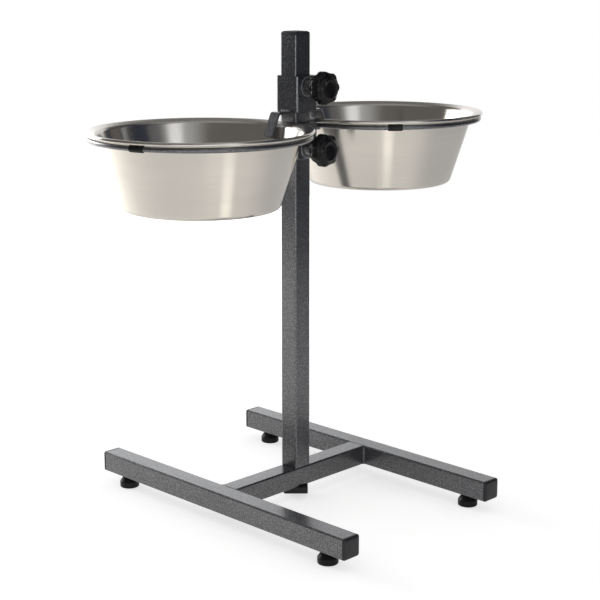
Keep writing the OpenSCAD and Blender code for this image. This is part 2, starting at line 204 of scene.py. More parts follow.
room = (0.125, 0.12, 0.112, 1)
walls = {
    "front wall": ((0.4, 0.41, 0.42), (-130, -84), (-0.3, 0.9), (36, 0.2)),
    "grey corner": ((0.13, 0.13, 0.135), (-80, -50), (-1.1, 1.1), (10, 0.1)),
    "dark right wall": ((0.03, 0.036, 0.052), (-64, 6), (0.1, 1.1), (6, 0.1)),
    "foot of the right wall": ((0.075, 0.078, 0.085), (-64, 6), (-1.1, 0.1), (6, 0.1)),
    "window in the front wall": ((0.9, 0.92, 0.95), (-108, -90), (-0.1, 0.85), (10, 0.15)),
    "bright strip behind the camera": ((1.9, 1.9, 1.9), (-160, -112), (-0.17, 0.06), (10, 0.06)),
    "slit in the right wall": ((0.5, 0.5, 0.5), (-30, -26), (0.1, 0.6), (3, 0.12)),
    "door in the right wall": ((0.12, 0.11, 0.1), (-22, -4), (-0.1, 0.6), (3, 0.12)),
    "ceiling": ((0.3, 0.3, 0.3), (-400, 400), (0.84, 1.2), (1, 0.2)),
    "backdrop": ((0.8, 0.8, 0.8), (12, 107), (-1.1, 0.44), (6, 0.12)),
    "lit part of the backdrop": ((1.18, 1.18, 1.18), (45, 107), (-1.1, 0.48), (8, 0.1)),
    "brightest part of the backdrop": ((1.5, 1.5, 1.5), (58, 107), (-1.1, 0.48), (8, 0.1)),
    "black screen beside the backdrop": ((0.055, 0.055, 0.055), (100, 165), (-1.1, 0.12), (10, 0.1)),
}
for colour, bearings, heights, soft in walls.values():
    room = panel(tree, room, colour, bearings, heights, soft)
even_light = (0.5, 0.5, 0.5, 1)
light = blend(tree, path["Is Glossy Ray"], even_light, room)
light = blend(tree, path["Is Camera Ray"], light, pure_white)
sky = add(tree, "ShaderNodeBackground", {"Color": light, "Strength": 1})
add(tree, "ShaderNodeOutputWorld", {"Surface": sky.outputs[0]})

# Soft box: a large lamp behind the stand on the left, turned towards the middle of the post.
# It draws the bowls' bright edges and the faint shadow.
lamp_place = Vector((-0.44, 2.16, 0.85))
lamp_target = Vector((0, 0, 0.4))
lamp = bpy.data.lights.new("left_soft_box", "AREA")
lamp.shape = "RECTANGLE"
lamp.size = 1.15
lamp.size_y = 0.9
lamp.energy = 13
soft_box = bpy.data.objects.new("left_soft_box", lamp)
soft_box.location = lamp_place
soft_box.rotation_euler = (lamp_target - lamp_place).to_track_quat("-Z", "Y").to_euler()
bpy.context.collection.objects.link(soft_box)


# Rails, crossbar and post: square steel tube with rounded corners, cut square, welded
# into an H and sprayed with dark grey hammered enamel.
def square_loop(bm, width, radius, along, steps=6):
    """A ring of vertices round a square section with rounded corners."""
    half = width / 2 - radius
    ring = []
    for corner, (sx, sy) in enumerate(((1, 1), (-1, 1), (-1, -1), (1, -1))):
        for step in range(steps + 1):
            angle = math.radians(90 * (corner + step / steps))
            x = sx * half + radius * math.cos(angle)
            y = sy * half + radius * math.sin(angle)
            ring.append(bm.verts.new((x, y, along)))
    return ring


def join_loops(bm, loops, closed=False):
    """Faces between each ring of vertices and the next."""
    pairs = list(zip(loops, loops[1:]))
    if closed:
        pairs.append((loops[-1], loops[0]))
    for a, b in pairs:
        for i in range(len(a)):
            j = (i + 1) % len(a)
            bm.faces.new((a[i], a[j], b[j], b[i]))


def square_tube(name, low, high, axis, wall, radius, edge=0.0003):
    """A hollow square tube between two corners, along the axis 0, 1 or 2."""
    width = high[(axis + 1) % 3] - low[(axis + 1) % 3]
    end = (high[axis] - low[axis]) / 2
    bm = bmesh.new()
    loops = [square_loop(bm, width - 2 * edge, radius - edge, -end)]
    loops.append(square_loop(bm, width, radius, -end + edge))
    loops.append(square_loop(bm, width, radius, end - edge))
    loops.append(square_loop(bm, width - 2 * edge, radius - edge, end))
    loops.append(square_loop(bm, width - 2 * wall, radius - wall, end))
    loops.append(square_loop(bm, width - 2 * wall, radius - wall, -end))
    join_loops(bm, loops, closed=True)
    quarter = math.radians(90)
    turns = (Matrix.Rotation(quarter, 4, "Y"), Matrix.Rotation(-quarter, 4, "X"), Matrix.Identity(4))
    bm.transform(Matrix.Translation((low + high) / 2) @ turns[axis])
    piece = mesh_object(name, bm)
    piece.modifiers.new("flat_faces", "WEIGHTED_NORMAL").keep_sharp = True
    return piece


def fit(piece, material, slot, body, *nodes):
    """Gives a piece its finish and its body, and puts it in place of CAD nodes."""
    piece.data.materials.clear()
    piece.data.materials.append(material)
    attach(piece, body)
    if nodes:
        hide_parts(*nodes)


def shader_group(name, inputs, outputs):
    """An empty shader group with named sockets, its input node and its output node."""
    group = bpy.data.node_groups.new(name, "ShaderNodeTree")
    for socket, kind, value in inputs:
        item = group.interface.new_socket(socket, in_out="INPUT", socket_type="NodeSocket" + kind)
        if value is not None:
            item.default_value = value
    for socket, kind in outputs:
        group.interface.new_socket(socket, in_out="OUTPUT", socket_type="NodeSocket" + kind)
    return group, group.nodes.new("NodeGroupInput"), group.nodes.new("NodeGroupOutput")


finish_outputs = (("Color", "Color"), ("Roughness", "Float"), ("Height", "Float"))
hammered, gin, gout = shader_group(
    "hammered_enamel",
    [("Vector", "Vector", None), ("Cell", "Float", 0.0024),
     ("Raised", "Color", (0.3, 0.3, 0.31, 1)), ("Sunk", "Color", (0.1, 0.1, 0.1, 1))],
    finish_outputs)
place = gin.outputs["Vector"]
drift_reach = 0.003
cell_middle, cell_rim = 0.1, 0.65
flake_share, cloud_share = 0.7, 0.35
flake_height = 0.1
rough_raised, rough_sunk = 0.25, 0.35
drift = add(hammered, "ShaderNodeTexNoise", {"Vector": place, "Scale": 300, "Detail": 2}).outputs["Color"]
drift = vector_maths(hammered, "SUBTRACT", drift, (0.5, 0.5, 0.5))
drift = add(hammered, "ShaderNodeVectorMath", {0: drift, "Scale": drift_reach}, operation="SCALE")
warped = vector_maths(hammered, "ADD", place, drift.outputs[0])
density = maths(hammered, "DIVIDE", 1, gin.outputs["Cell"])
cells = {"Vector": warped, "Scale": density, "Smoothness": 0.5}
cells = add(hammered, "ShaderNodeTexVoronoi", cells, feature="SMOOTH_F1").outputs["Distance"]
# The raised cells take the lighter colour and the sunk seams between them the darker one: painted light
# and shade on the relief. The flake and cloud noise are the paint's own mottle.
sunk = ramp(hammered, cells, cell_middle, cell_rim)
flake = add(hammered, "ShaderNodeTexNoise", {"Vector": place, "Scale": 1500, "Detail": 3}).outputs["Fac"]
cloud = add(hammered, "ShaderNodeTexNoise", {"Vector": place, "Scale": 18, "Detail": 3}).outputs["Fac"]
shade = maths(hammered, "MULTIPLY_ADD", maths(hammered, "SUBTRACT", flake, 0.5), flake_share, sunk)
shade = maths(hammered, "MULTIPLY_ADD", maths(hammered, "SUBTRACT", cloud, 0.5), cloud_share, shade)
shade = add(hammered, "ShaderNodeClamp", {0: shade}).outputs[0]
tint = blend(hammered, shade, gin.outputs["Raised"], gin.outputs["Sunk"])
lump = maths(hammered, "MULTIPLY_ADD", flake, flake_height, maths(hammered, "SUBTRACT", 1, sunk))
hammered.links.new(tint, gout.inputs["Color"])
hammered.links.new(ramp(hammered, shade, 0, 1, rough_raised, rough_sunk), gout.inputs["Roughness"])
hammered.links.new(lump, gout.inputs["Height"])
relief_height = 0.0003


def finish(name, group, values, metallic, depth, place=None, **constants):
    """A material whose colour, roughness and relief come from a shader group."""
    material, tree = blank_material(name)
    pattern = add(tree, "ShaderNodeGroup", node_tree=group)
    for key, value in values.items():
        pattern.inputs[key].default_value = value
    where = add(tree, "ShaderNodeTexCoord").outputs["Object"]
    tree.links.new(place(tree, where) if place else where, pattern.inputs["Vector"])
    relief = {"Height": pattern.outputs["Height"], "Strength": depth, "Distance": relief_height}
    bump = add(tree, "ShaderNodeBump", relief)
    values = {"Base Color": pattern.outputs["Color"], "Roughness": pattern.outputs["Roughness"],
              "Metallic": metallic, "Normal": bump.outputs[0]}
    values.update({key.replace("_", " "): value for key, value in constants.items()})
    shader = add(tree, "ShaderNodeBsdfPrincipled", values)
    add(tree, "ShaderNodeOutputMaterial", {"Surface": shader.outputs[0]})
    return material


tube_wall = 0.0015
tube_radius = 0.002
# Raised and Sunk: the enamel's grey with painted light on the raised cells and painted shade in the sunk
# seams.
enamel_shades = {"Raised": (0.256, 0.263, 0.284, 1), "Sunk": (0.126, 0.129, 0.142, 1), "Cell": 0.0019}
varnish = {"Coat_Weight": 1.0, "Coat_Roughness": 0.18}
enamel = finish("dark_hammered_enamel", hammered, enamel_shades, metallic=1, depth=0.32, **varnish)
for node, axis in (("left_rail", 1), ("right_rail", 1), ("crossbar", 0), ("post", 2)):
    low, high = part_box(node)
    tube = square_tube(node + "_tube", low, high, axis, tube_wall, tube_radius)
    fit(tube, enamel, "frame_paint", "base", node)


# Frame welds: runs of weld where the crossbar meets the rails, up both sides and across
# the top, laid drop by drop and sprayed over with the frame.
def geometry_group(name, sockets):
    """An empty geometry tree with named inputs, its input node and its output node."""
    group = bpy.data.node_groups.new(name, "GeometryNodeTree")
    group.interface.new_socket("Geometry", in_out="INPUT", socket_type="NodeSocketGeometry")
    for socket, kind in sockets:
        group.interface.new_socket(socket, in_out="INPUT", socket_type="NodeSocket" + kind)
    group.interface.new_socket("Geometry", in_out="OUTPUT", socket_type="NodeSocketGeometry")
    return group, group.nodes.new("NodeGroupInput"), group.nodes.new("NodeGroupOutput")


ripples, gin, gout = geometry_group(
    "weld_ripples", [("Drop Spacing", "Float"), ("Drop Radius", "Float"), ("Material", "Material")])
seam = add(ripples, "GeometryNodeMeshToCurve", {"Mesh": gin.outputs["Geometry"]})
spots = {"Curve": seam.outputs[0], "Length": gin.outputs["Drop Spacing"]}
spots = add(ripples, "GeometryNodeCurveToPoints", spots, mode="LENGTH")
drop = {"Radius": gin.outputs["Drop Radius"], "Subdivisions": 3}
drop = add(ripples, "GeometryNodeMeshIcoSphere", drop)
drop_least, drop_most = 0.92, 1.05
size = {2: drop_least, 3: drop_most, "Seed": 7}
size = add(ripples, "FunctionNodeRandomValue", size, data_type="FLOAT")
drops = {"Points": spots.outputs["Points"], "Instance": drop.outputs["Mesh"], "Scale": size.outputs[1]}
drops = add(ripples, "GeometryNodeInstanceOnPoints", drops)
solid = add(ripples, "GeometryNodeRealizeInstances", {"Geometry": drops.outputs[0]})
smooth = add(ripples, "GeometryNodeSetShadeSmooth", {"Geometry": solid.outputs[0]})
painted = {"Geometry": smooth.outputs[0], "Material": gin.outputs["Material"]}
painted = add(ripples, "GeometryNodeSetMaterial", painted)
ripples.links.new(painted.outputs[0], gout.inputs["Geometry"])


def grown(name, tree, bm, values):
    """The plain mesh that a geometry tree makes from a bmesh."""
    mesh = bpy.data.meshes.new(name)
    bm.to_mesh(mesh)
    bm.free()
    piece = bpy.data.objects.new(name, mesh)
    bpy.context.collection.objects.link(piece)
    grow = piece.modifiers.new("grow", "NODES")
    grow.node_group = tree
    for item in tree.interface.items_tree:
        if item.item_type == "SOCKET" and item.in_out == "INPUT" and item.name in values:
            grow[item.identifier] = values[item.name]
    bpy.context.view_layer.update()
    ready = piece.evaluated_get(bpy.context.evaluated_depsgraph_get())
    result = bpy.data.meshes.new_from_object(ready)
    piece.modifiers.remove(grow)
    piece.data = result
    return piece


def weld_run(bm, points):
    """One seam, as a line of edges through points."""
    line = [bm.verts.new(point) for point in points]
    for a, b in zip(line, line[1:]):
        bm.edges.new((a, b))


weld_offset = 0.0004
weld_sink = 0.0017
bm = bmesh.new()
low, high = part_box("crossbar")
for x, sx in ((low.x, 1), (high.x, -1)):
    for y, sy in ((low.y, -1), (high.y, 1)):
        corner = (x + sx * weld_offset, y + sy * weld_offset)
        weld_run(bm, [(*corner, low.z + tube_radius), (*corner, high.z - tube_radius)])
    level = high.z - weld_sink
    weld_run(bm, [(x, low.y + tube_radius, level), (x, high.y - tube_radius, level)])
weld = {"Drop Spacing": 0.0008, "Drop Radius": 0.0019, "Material": enamel}
fit(grown("frame_weld_runs", ripples, bm, weld), enamel, "frame_paint", "base", "frame_welds")

# End caps: moulded black plastic plugs with a domed face plate, tapped into the open
# ends of the rails and the post.
moulded, gin, gout = shader_group(
    "moulded_grain",
    [("Vector", "Vector", None), ("Color", "Color", (0.02, 0.02, 0.02, 1)),
     ("Dust", "Color", (0.06, 0.06, 0.058, 1)), ("Grain", "Float", 1800.0),
     ("Low", "Float", 0.32), ("High", "Float", 0.5)],
    finish_outputs)
place = gin.outputs["Vector"]
spark = {"Vector": place, "Scale": gin.outputs["Grain"], "Detail": 3, "Roughness": 0.6}
spark = add(moulded, "ShaderNodeTexNoise", spark).outputs["Fac"]
smear = {"Vector": place, "Scale": 55, "Detail": 4, "Roughness": 0.6}
smear = add(moulded, "ShaderNodeTexNoise", smear).outputs["Fac"]
dust_range = (0.42, 0.78)
dull_range = (0.2, 0.8)
film = blend(moulded, ramp(moulded, smear, *dust_range), gin.outputs["Color"], gin.outputs["Dust"])
moulded.links.new(film, gout.inputs["Color"])
dull = ramp(moulded, smear, *dull_range, gin.outputs["Low"], gin.outputs["High"])
moulded.links.new(dull, gout.inputs["Roughness"])
moulded.links.new(spark, gout.inputs["Height"])

cap_shades = {"Color": (0.019, 0.0195, 0.026, 1), "Dust": (0.032, 0.033, 0.041, 1)}
cap_plastic = finish("cap_plastic", moulded, cap_shades, metallic=0, depth=0.15)
plug_width = 0.0218
plug_wall = 0.002
plug_corner = 0.0005
hollow_corner = 0.0003
cap_seam = 0.0002
dome_rise = 0.0003
dome_share = 0.4
edge_share = 0.66
edge_steps = 8
corner_growth = 0.4
caps = (("left_rail_front_cap", "left_rail", 1, -1), ("left_rail_back_cap", "left_rail", 1, 1),
        ("right_rail_front_cap", "right_rail", 1, -1), ("right_rail_back_cap", "right_rail", 1, 1),
        ("post_cap", "post", 2, 1))
for node, tube, axis, way in caps:
    low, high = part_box(node)
    tube_low, tube_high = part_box(tube)
    middle = (low + high) / 2
    middle[axis] = tube_high[axis] if way > 0 else tube_low[axis]
    thick = high[axis] - tube_high[axis] if way > 0 else tube_low[axis] - low[axis]
    plug = high[axis] - low[axis] - thick
    width = high.x - low.x
    round_edge = thick * edge_share
    bm = bmesh.new()
    hollow = plug_width - 2 * plug_wall
    loops = [square_loop(bm, hollow, hollow_corner, -cap_seam)]
    loops.append(square_loop(bm, hollow, hollow_corner, -plug))
    loops.append(square_loop(bm, plug_width, plug_corner, -plug))
    loops.append(square_loop(bm, plug_width, plug_corner, 0))
    loops.append(square_loop(bm, width - cap_seam, tube_radius - cap_seam / 2, 0))
    loops.append(square_loop(bm, width, tube_radius, cap_seam))
    for step in range(edge_steps + 1):
        angle = math.radians(90 * step / edge_steps)
        inset = round_edge * (1 - math.cos(angle))
        level = thick - dome_rise - round_edge * (1 - math.sin(angle))
        loops.append(square_loop(bm, width - 2 * inset, tube_radius + corner_growth * inset, level))
    loops.append(square_loop(bm, width * dome_share, tube_radius, thick))
    join_loops(bm, loops)
    bm.faces.new(loops[-1])
    bm.faces.new(list(reversed(loops[0])))
    turn = Matrix.Identity(4) if axis == 2 else Matrix.Rotation(math.radians(-90 * way), 4, "X")
    bm.transform(Matrix.Translation(middle) @ turn)
    fit(mesh_object(node + "_plug", bm), cap_plastic, "cap_plastic", "base", node)


# Feet: moulded black rubber buffers under the rails, with a straight side, a cone-shaped
# shoulder, a flat tread and a recess for the screw.
def turned(bm, profile, centre, axis="Z", steps=64):
    """A closed shape of revolution from (radius, along) points, on the axis Z or -Y."""
    rings = []
    for radius, along in profile:
        turns = [2 * math.pi * i / steps for i in range(steps if radius else 1)]
        ring = [(radius * math.cos(a), radius * math.sin(a), along) for a in turns]
        rings.append([bm.verts.new(point) for point in ring])
    for a, b in zip(rings, rings[1:]):
        for i in range(steps):
            j = (i + 1) % steps
            corners = (a[i % len(a)], a[j % len(a)], b[j % len(b)], b[i % len(b)])
            bm.faces.new(list(dict.fromkeys(corners)))
    if len(rings[0]) > 1:
        join_loops(bm, [rings[-1], rings[0]])
    turn = Matrix.Rotation(math.radians(90), 4, "X") if axis == "-Y" else Matrix.Identity(4)
    made = [vertex for ring in rings for vertex in ring]
    bmesh.ops.transform(bm, matrix=Matrix.Translation(centre) @ turn, verts=made)


def arc(centre, radius, start, end, steps):
    """Points of an arc in a half-section."""
    angles = [math.radians(start + (end - start) * i / steps) for i in range(steps + 1)]
    return [(centre[0] + radius * math.cos(a), centre[1] + radius * math.sin(a)) for a in angles]


foot_shades = {"Color": (0.008, 0.008, 0.009, 1), "Dust": (0.022, 0.022, 0.022, 1), "Grain": 900.0}
rubber = finish("foot_rubber", moulded, foot_shades, metallic=0, depth=0.2, Specular_IOR_Level=0.3)
feet = ("left_front_foot", "left_back_foot", "right_front_foot", "right_back_foot")
foot_side = 0.0075
foot_top = 0.0065
tread_edge = 0.0016
shoulder_edge = 0.0012
shoulder_sink = 0.4
top_edge = 0.0002
top_drop = 0.0003
recess = 0.0055
recess_depth = 0.006
recess_edge = 0.0004
groove = ((0, 0.5), (0.0002, 0.53), (0.0002, 0.57), (0, 0.6))
screw_radius = 0.0025
for node in feet:
    low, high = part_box(node)
    r = (high.x - low.x) / 2
    lean = math.degrees(math.atan2(high.z - foot_side, r - foot_top))
    outline = [(recess, recess_depth), (recess, recess_edge), (recess + recess_edge, 0)]
    outline += arc((r - tread_edge, tread_edge), tread_edge, -90, 0, 6)
    outline += [(r - deep, foot_side * part) for deep, part in groove]
    shoulder = (r - shoulder_edge, foot_side - shoulder_edge * shoulder_sink)
    outline += arc(shoulder, shoulder_edge, 0, 90 - lean, 5)
    outline += [(foot_top + top_edge, high.z - top_drop), (foot_top - top_edge, high.z),
                (screw_radius, high.z), (screw_radius, recess_depth)]
    bm = bmesh.new()
    turned(bm, outline, ((low.x + high.x) / 2, (low.y + high.y) / 2, 0))
    fit(mesh_object(node + "_buffer", bm, sharp=30), rubber, "foot_rubber", "base", node)

# Foot screws: zinc-plated pan-head screws up through the feet into the rails, with a
# recess in the head for the driver.
scratched, gin, gout = shader_group(
    "fine_scratches",
    [("Vector", "Vector", None), ("Scale", "Float", 900.0), ("Color", "Color", (0.6, 0.6, 0.58, 1)),
     ("Dull", "Color", (0.42, 0.42, 0.41, 1)), ("Low", "Float", 0.2), ("High", "Float", 0.38)],
    finish_outputs)
place = gin.outputs["Vector"]
lines = {"Vector": place, "Scale": gin.outputs["Scale"], "Detail": 4, "Roughness": 0.7}
lines = add(scratched, "ShaderNodeTexNoise", lines).outputs["Fac"]
tarnish = {"Vector": place, "Scale": 40, "Detail": 3}
tarnish = add(scratched, "ShaderNodeTexNoise", tarnish).outputs["Fac"]
tarnish_range = (0.64, 1.36)
tone = ramp(scratched, maths(scratched, "ADD", lines, tarnish), *tarnish_range)
tint = blend(scratched, tone, gin.outputs["Color"], gin.outputs["Dull"])
dull = ramp(scratched, tone, 0, 1, gin.outputs["Low"], gin.outputs["High"])
scratched.links.new(tint, gout.inputs["Color"])
scratched.links.new(dull, gout.inputs["Roughness"])
scratched.links.new(lines, gout.inputs["Height"])

zinc_shades = {"Color": (0.62, 0.62, 0.6, 1), "Dull": (0.45, 0.45, 0.43, 1), "Low": 0.22, "High": 0.4}
zinc = finish("zinc_plate", scratched, zinc_shades, metallic=1, depth=0.1)
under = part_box("foot_screws")[0].z
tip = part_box("foot_screws")[1].z
point = 0.0006
head_radius = 0.005
driver_depth = 0.0012
pan = ((0, driver_depth), (0.0015, driver_depth), (0.0017, 0), (0.0033, 0.0001), (0.0045, 0.0007),
       (head_radius, 0.0016))
outline = [(radius, under + rise) for radius, rise in pan]
outline += [(head_radius, recess_depth), (screw_radius, recess_depth), (screw_radius, tip - point),
            (screw_radius - point, tip), (0, tip)]
bm = bmesh.new()
for node in feet:
    low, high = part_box(node)
    turned(bm, outline, ((low.x + high.x) / 2, (low.y + high.y) / 2, 0), steps=32)
fit(mesh_object("foot_screw_set", bm, sharp=30), zinc, "zinc_steel", "base", "foot_screws")

# Nut plate: a threaded steel plate in the lower end of the post. The tube hides it, so it
# keeps its CAD shape and only gets the plated finish.
nut_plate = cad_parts["post_nut_plate"]
nut_plate.data.materials.clear()
nut_plate.data.materials.append(zinc)

# Pad and bolt under the post: a square black plastic block, turned on its bolt, takes the
# pull of a black socket-head bolt that runs up into the nut plate.
pad_shades = {"Color": (0.012, 0.012, 0.013, 1), "Dust": (0.032, 0.032, 0.033, 1)}
pad_plastic = finish("pad_plastic", moulded, pad_shades, metallic=0, depth=0.15)
low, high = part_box("post_pad")
pad_width = 0.03
pad_corner = 0.002
pad_edge = 0.0004
pad_turn = math.radians(45)
pad_foot = ((0.001, 0), (0.0003, 0.0003), (0, 0.001))
bolt_hole = 0.0082
round_share = 0.499
hole_radius = bolt_hole * round_share
bm = bmesh.new()
loops = [square_loop(bm, bolt_hole, hole_radius, low.z)]
for inset, rise in pad_foot:
    loops.append(square_loop(bm, pad_width - 2 * inset, pad_corner - inset, low.z + rise))
loops.append(square_loop(bm, pad_width, pad_corner, high.z - pad_edge))
loops.append(square_loop(bm, pad_width - 2 * pad_edge, pad_corner - pad_edge, high.z))
loops.append(square_loop(bm, bolt_hole, hole_radius, high.z))
join_loops(bm, loops, closed=True)
bm.transform(Matrix.Rotation(pad_turn, 4, "Z"))
fit(mesh_object("post_pad_block", bm), pad_plastic, "pad_plastic", "base", "post_pad")

black_shades = {"Color": (0.045, 0.045, 0.047, 1), "Dull": (0.025, 0.025, 0.026, 1),
                "Low": 0.35, "High": 0.5}
black_steel = finish("blackened_steel", scratched, black_shades, metallic=1, depth=0.1)
head_top = low.z
low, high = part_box("post_bolt")
under = low.z
tip = high.z
socket = 0.0029
socket_depth = 0.0022
r = 0.007
shank = 0.004
bolt_point = 0.0008
dome = [(0, under + socket_depth), (socket, under + socket_depth), (socket, under + 0.0002),
        (socket + 0.0003, under), (r * 0.63, under + 0.0003), (r * 0.81, under + 0.0011),
        (r * 0.94, under + 0.0024), (r, head_top - 0.0003), (r - 0.0001, head_top),
        (shank, head_top), (shank, tip - bolt_point), (shank - bolt_point, tip), (0, tip)]
bm = bmesh.new()
turned(bm, dome, (0, 0, 0), steps=48)
fit(mesh_object("post_bolt_dome", bm, sharp=30), black_steel, "black_steel", "base", "post_bolt")

# Sleeves: two short lengths of larger square tube that slide on the post, the lower one
# for the rings and the upper one for the lock, in the same enamel.
sleeve_wall = 0.0025
sleeve_radius = 0.0035
sleeve_edge = 0.0005
for body in ("carrier", "lock"):
    low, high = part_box(body + "_sleeve")
    sleeve = square_tube(body + "_sleeve_tube", low, high, 2, sleeve_wall, sleeve_radius, sleeve_edge)
    fit(sleeve, enamel, "frame_paint", body, body + "_sleeve")

# Bosses: turned steel collars welded to the fronts of the sleeves, tapped for the clamp
# screws and sprayed with the same enamel.
bore = 0.00405
lead_in = 0.0012
boss_edge = ((0, 0.0012), (0.0003, 0.0005), (0.001, 0))
for body in ("carrier", "lock"):
    low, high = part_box(body + "_boss")
    r = (high.x - low.x) / 2
    end = high.y - low.y
    outline = [(bore, 0), (r, 0)] + [(r - inset, end - drop) for inset, drop in boss_edge]
    outline += [(bore + lead_in, end), (bore, end - lead_in)]
    bm = bmesh.new()
    turned(bm, outline, (0, high.y, (low.z + high.z) / 2), "-Y")
    fit(mesh_object(body + "_boss_collar", bm, sharp=30), enamel, "frame_paint", body, body + "_boss")


# Ring arms and lock tabs: flat bar. The arms are short stubs under the rings, the tabs
# are bent down over the rims of the bowls and have rounded tips.
def flat_bar(bm, path, width, thickness, middle, tip=0.0):
    """A flat bar whose upper face follows (x, z) points, with softened edges."""
    edge = 0.0005
    points = [Vector(point) for point in path]
    way = 1 if path[-1][0] > path[0][0] else -1
    rows = []
    for i, point in enumerate(points):
        before = point - points[i - 1] if i else points[1] - point
        after = points[i + 1] - point if i + 1 < len(points) else before
        along = (before.normalized() + after.normalized()).normalized()
        depth = thickness / along.dot(before.normalized())
        down = Vector((along.y, -along.x)) * way
        left = sum((b - a).length for a, b in zip(points[i:], points[i + 1:]))
        half = width / 2
        if left < tip:
            half -= tip - math.sqrt(tip ** 2 - (tip - left) ** 2)
        side = ((half - edge, 0), (half, edge), (half, depth - edge), (half - edge, depth))
        section = side + tuple((-w, d) for w, d in reversed(side))
        row = [(point.x + down.x * d, middle + w, point.y + down.y * d) for w, d in section]
        rows.append([bm.verts.new(corner) for corner in row])
    join_loops(bm, rows)
    bm.faces.new(rows[-1])
    bm.faces.new(list(reversed(rows[0])))


arm_edge = 0.0006
arm_drop = 0.0002
for side, sx in (("left", -1), ("right", 1)):
    low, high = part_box(side + "_ring_arm")
    inner, outer = (low.x, high.x) if sx > 0 else (high.x, low.x)
    path = [(inner, high.z), (outer - sx * arm_edge, high.z), (outer, high.z - arm_drop)]
    bm = bmesh.new()
    flat_bar(bm, path, high.y - low.y, high.z - low.z, (low.y + high.y) / 2)
    arm = mesh_object(side + "_ring_arm_bar", bm, sharp=30)
    fit(arm, enamel, "frame_paint", "carrier", side + "_ring_arm")

tab_thickness = 0.003
tab_lean = math.radians(22.83)
tab_bend = 0.0368
tab_length = 0.0305
bend_radius = 0.005
bend_steps = 8
tip_radius = 0.004
tip_parts = (0.3, 0.6, 0.86, 0.92, 0.96, 0.985, 1)
for side, sx in (("left", -1), ("right", 1)):
    low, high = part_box(side + "_lock_tab")
    root = low.x if sx > 0 else -high.x
    turn = math.pi / 2 - tab_lean
    cut = bend_radius * math.tan(turn / 2)
    path = [(root, high.z)]
    for step in range(bend_steps + 1):
        angle = turn * step / bend_steps
        along = tab_bend - cut + bend_radius * math.sin(angle)
        path.append((along, high.z - bend_radius * (1 - math.cos(angle))))
    for part in tip_parts:
        along = cut + (tab_length - cut) * part
        path.append((tab_bend + math.sin(tab_lean) * along, high.z - math.cos(tab_lean) * along))
    path = [(sx * x, z) for x, z in path]
    bm = bmesh.new()
    flat_bar(bm, path, high.y - low.y, tab_thickness, (low.y + high.y) / 2, tip_radius)
    tab = mesh_object(side + "_lock_tab_bar", bm, sharp=30)
    fit(tab, enamel, "frame_paint", "lock", side + "_lock_tab")

# Sleeve welds: a run round each boss, runs over and under the arms and runs over the tabs,
# sprayed over with the sleeves.
weld_margin = 0.001
sleeve_bars = {"carrier": ("left_ring_arm", "right_ring_arm"),
               "lock": ("left_lock_tab", "right_lock_tab")}
for body, bars in sleeve_bars.items():
    low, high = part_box(body + "_boss")
    r = (high.x - low.x) / 2 + weld_offset
    y = high.y - weld_offset
    z = (low.z + high.z) / 2
    turns = [math.radians(angle) for angle in range(0, 361, 6)]
    bm = bmesh.new()
    weld_run(bm, [(r * math.cos(a), y, z + r * math.sin(a)) for a in turns])
    for bar in bars:
        low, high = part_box(bar)
        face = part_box(body + "_sleeve")[1].x + weld_offset
        x = face if high.x > 0 else -face
        levels = [high.z + weld_offset]
        if body == "carrier":
            levels.append(low.z - weld_offset)
        for level in levels:
            weld_run(bm, [(x, low.y + weld_margin, level), (x, high.y - weld_margin, level)])
    weld = {"Drop Spacing": 0.0011, "Drop Radius": 0.0016, "Material": enamel}
    fit(grown(body + "_weld_runs", ripples, bm, weld), enamel, "frame_paint", body, body + "_welds")


# Rings: round steel bar bent into a full circle and welded to the arms, in the enamel of
# the frame.
def bar_ring(bm, centre, radius, thickness, start=0.0, sweep=360.0, steps=192, around=24):
    """Rows of a round bar bent along a circle. Thickness gives the bar's radius along it."""
    whole = sweep >= 360
    rows = []
    for i in range(steps if whole else steps + 1):
        angle = math.radians(start + sweep * i / steps)
        thick = thickness(i / steps)
        row = []
        for j in range(around):
            turn = 2 * math.pi * j / around
            reach = radius + thick * math.cos(turn)
            point = Vector((reach * math.cos(angle), reach * math.sin(angle), thick * math.sin(turn)))
            row.append(bm.verts.new(centre + point))
        rows.append(row)
    join_loops(bm, rows, closed=whole)
    return rows


bar_radius = 0.003
for side in ("left", "right"):
    low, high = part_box(side + "_ring")
    bm = bmesh.new()
    bar_ring(bm, (low + high) / 2, (high.x - low.x) / 2 - bar_radius, lambda part: bar_radius)
    fit(mesh_object(side + "_ring_bar", bm), enamel, "frame_paint", "carrier", side + "_ring")

# Ring pads: short black rubber sleeves pushed along each ring before it was closed, so
# that the steel bowl doesn't rattle on it.
pad_radius = 0.0041
pad_length = 0.017
pad_steps = 60
pads_per_ring = 3
first_pads = {"left": 196, "right": 230}
end_round = 0.0009


def pad_outside(part):
    """Radius of a ring pad along its length, with rounded ends."""
    near = min(part, 1 - part) * pad_length
    fall = max(0.0, end_round - near)
    return pad_radius - end_round + math.sqrt(end_round ** 2 - fall ** 2)


for side, first in first_pads.items():
    low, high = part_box(side + "_ring")
    middle = (low + high) / 2
    ring_radius = (high.x - low.x) / 2 - bar_radius
    sweep = math.degrees(pad_length / ring_radius)
    bm = bmesh.new()
    for turn in range(pads_per_ring):
        start = first + 360 / pads_per_ring * turn - sweep / 2
        outer = bar_ring(bm, middle, ring_radius, pad_outside, start, sweep, pad_steps)
        inner = bar_ring(bm, middle, ring_radius, lambda part: bar_radius, start, sweep, pad_steps)
        join_loops(bm, [outer[0], inner[0]])
        join_loops(bm, [outer[-1], inner[-1]])
    pads = mesh_object(side + "_ring_pad_set", bm, sharp=50)
    fit(pads, rubber, "ring_rubber", "carrier", side + "_ring_pads")

